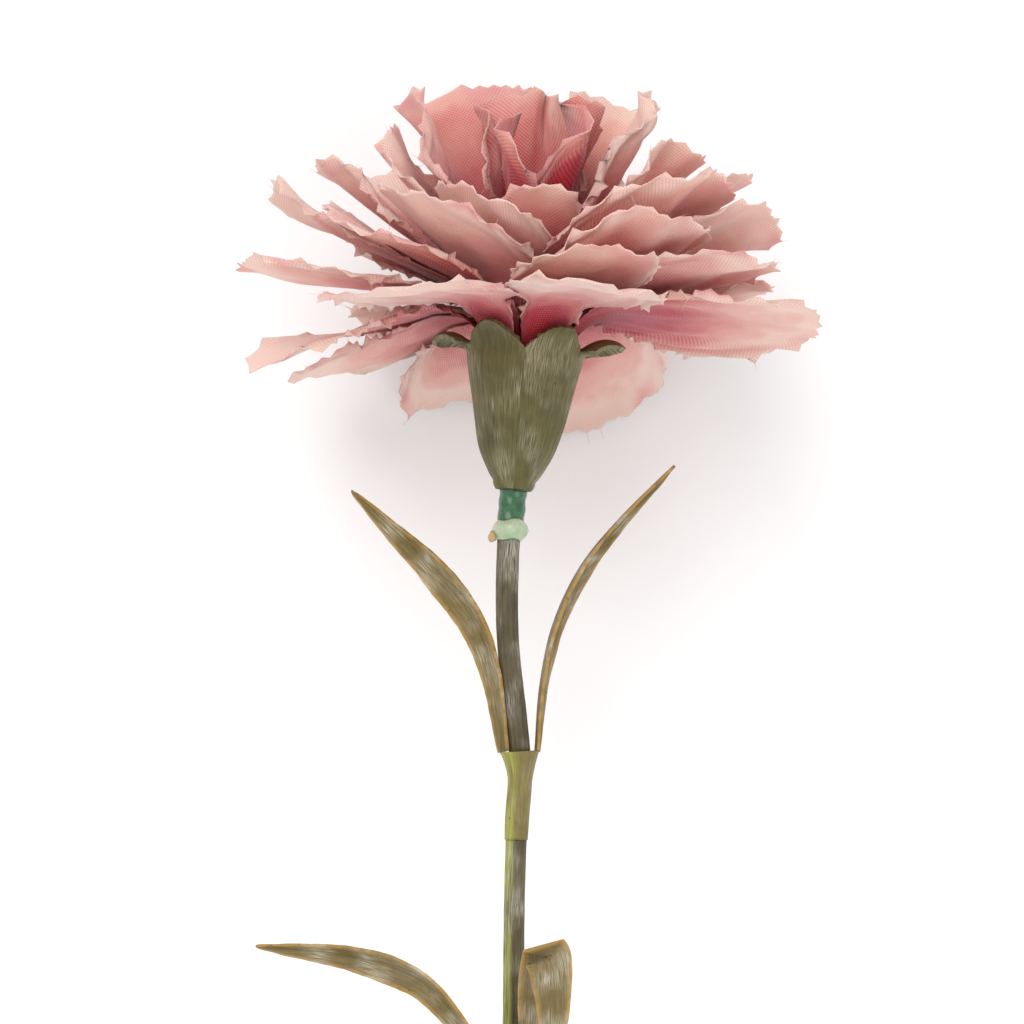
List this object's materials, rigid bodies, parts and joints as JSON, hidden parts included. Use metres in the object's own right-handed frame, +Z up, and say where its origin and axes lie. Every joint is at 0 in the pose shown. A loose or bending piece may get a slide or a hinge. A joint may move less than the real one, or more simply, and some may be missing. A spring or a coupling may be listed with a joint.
{
  "type": "artificial carnation stem",
  "caption": "A single artificial carnation lying down: dusty pink woven petals with pinked edges, an olive calyx, and a wired plastic stem with narrow paired leaves.",
  "frame": {"origin": "middle of the bounding box, on the surface the flower lies on", "axes": "+Y along the stem towards the flower head, +Z up"},
  "size_m": [0.0896, 0.3646, 0.0734],
  "materials": {
    "petal_cloth_deep": "woven, deep rose, coloured by hand",
    "petal_cloth_mid": "woven, dusty pink",
    "petal_cloth_light": "woven, pale pink to cream at the edge",
    "plug_plastic": "moulded, hidden between the petals",
    "calyx_plastic": "satin, ridged, with white rubbed bloom",
    "leaf_plastic": "satin, ochre edge, white rubbed bloom",
    "stem_plastic": "satin, ribbed, white rubbed bloom",
    "neck_tape": "glossy dark green",
    "glue": "pale translucent green glue",
    "wire_steel": "drawn wire"
  },
  "bodies": {
    "root": {"calyx_cup": "calyx_plastic", "glue_bead": "glue", "leaf_lower_left": "leaf_plastic", "leaf_lower_right": "leaf_plastic", "leaf_sleeve_lower": "leaf_plastic", "leaf_sleeve_upper": "leaf_plastic", "leaf_upper_left": "leaf_plastic", "leaf_upper_right": "leaf_plastic", "neck_tape": "neck_tape", "petal_plug": "plug_plastic", "petal_r1_1": "petal_cloth_deep", "petal_r1_2": "petal_cloth_deep", "petal_r1_3": "petal_cloth_deep", "petal_r2_1": "petal_cloth_deep", "petal_r2_2": "petal_cloth_deep", "petal_r2_3": "petal_cloth_deep", "petal_r3_1": "petal_cloth_deep", "petal_r3_2": "petal_cloth_deep", "petal_r3_3": "petal_cloth_deep", "petal_r3_4": "petal_cloth_deep", "petal_r4_1": "petal_cloth_mid", "petal_r4_2": "petal_cloth_mid", "petal_r4_3": "petal_cloth_mid", "petal_r4_4": "petal_cloth_mid", "petal_r4_5": "petal_cloth_mid", "petal_r4_6": "petal_cloth_mid", "petal_r5_1": "petal_cloth_mid", "petal_r5_2": "petal_cloth_mid", "petal_r5_3": "petal_cloth_mid", "petal_r5_4": "petal_cloth_mid", "petal_r5_5": "petal_cloth_mid", "petal_r5_6": "petal_cloth_mid", "petal_r5_7": "petal_cloth_mid", "petal_r6_1": "petal_cloth_light", "petal_r6_2": "petal_cloth_light", "petal_r6_3": "petal_cloth_light", "petal_r6_4": "petal_cloth_light", "petal_r6_5": "petal_cloth_light", "petal_r6_6": "petal_cloth_light", "petal_r7_1": "petal_cloth_light", "petal_r7_2": "petal_cloth_light", "petal_r7_3": "petal_cloth_light", "petal_r7_4": "petal_cloth_light", "petal_r7_5": "petal_cloth_light", "petal_r7_6": "petal_cloth_light", "petal_r7_7": "petal_cloth_light", "stem_lower": "stem_plastic", "stem_middle": "stem_plastic", "stem_upper": "stem_plastic", "stem_wire": "wire_steel"}
  },
  "joints": []
}
